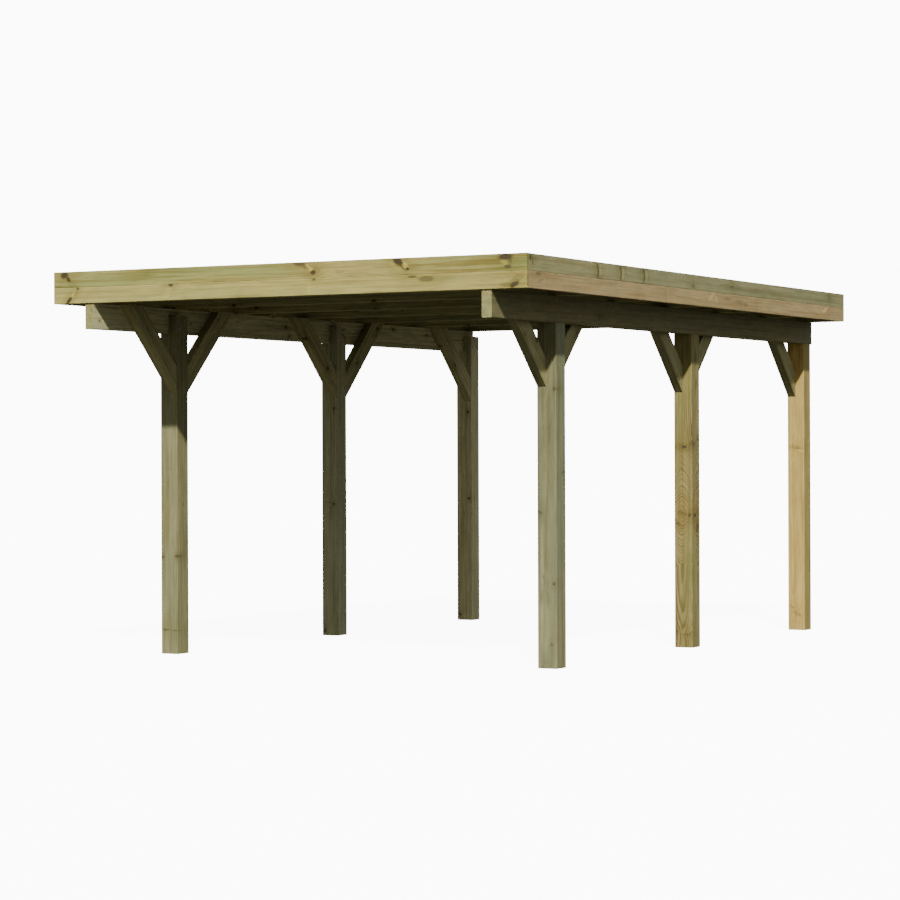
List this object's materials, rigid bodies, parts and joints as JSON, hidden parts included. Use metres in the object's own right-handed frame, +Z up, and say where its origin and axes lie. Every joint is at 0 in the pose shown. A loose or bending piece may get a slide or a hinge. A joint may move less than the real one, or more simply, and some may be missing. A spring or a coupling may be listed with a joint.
{
  "type": "timber carport",
  "caption": "Free-standing timber carport with posts in two rows, notched beams, corner braces, cross rafters and a boarded fascia around a low sheet roof.",
  "frame": {"origin": "on the ground under the middle of the roof", "axes": "+X to the right, +Y from the front (the wide overhang) to the back, +Z up"},
  "size_m": [3, 4.5, 2.19],
  "materials": {
    "post_timber": "planed, pressure-treated softwood, pale green-yellow",
    "beam_timber": "planed, pressure-treated softwood, pale green-yellow",
    "brace_timber": "planed, pressure-treated softwood, pale green-yellow",
    "rafter_timber": "planed, pressure-treated softwood, dull olive-yellow",
    "fascia_timber": "planed, pressure-treated softwood boards, pale green-yellow",
    "roof_sheet": "satin coated profiled steel sheet, dark grey"
  },
  "bodies": {
    "root": {"post_front_left": "post_timber", "post_middle_left": "post_timber", "post_rear_left": "post_timber", "post_front_right": "post_timber", "post_middle_right": "post_timber", "post_rear_right": "post_timber", "beam_left": "beam_timber", "beam_right": "beam_timber", "brace_front_forward_left": "brace_timber", "brace_front_backward_left": "brace_timber", "brace_middle_forward_left": "brace_timber", "brace_middle_backward_left": "brace_timber", "brace_rear_forward_left": "brace_timber", "brace_front_forward_right": "brace_timber", "brace_front_backward_right": "brace_timber", "brace_middle_forward_right": "brace_timber", "brace_middle_backward_right": "brace_timber", "brace_rear_forward_right": "brace_timber", "rafter_1": "rafter_timber", "rafter_2": "rafter_timber", "rafter_3": "rafter_timber", "rafter_4": "rafter_timber", "rafter_5": "rafter_timber", "rafter_6": "rafter_timber", "rafter_7": "rafter_timber", "back_cleat_1": "rafter_timber", "back_cleat_2": "rafter_timber", "back_cleat_3": "rafter_timber", "back_cleat_4": "rafter_timber", "fascia_front_lower": "fascia_timber", "fascia_back_lower": "fascia_timber", "fascia_left_lower": "fascia_timber", "fascia_right_lower": "fascia_timber", "fascia_front_upper": "fascia_timber", "fascia_back_upper": "fascia_timber", "fascia_left_upper": "fascia_timber", "fascia_right_upper": "fascia_timber", "roof_sheet_1": "roof_sheet", "roof_sheet_2": "roof_sheet", "roof_sheet_3": "roof_sheet"}
  },
  "joints": []
}
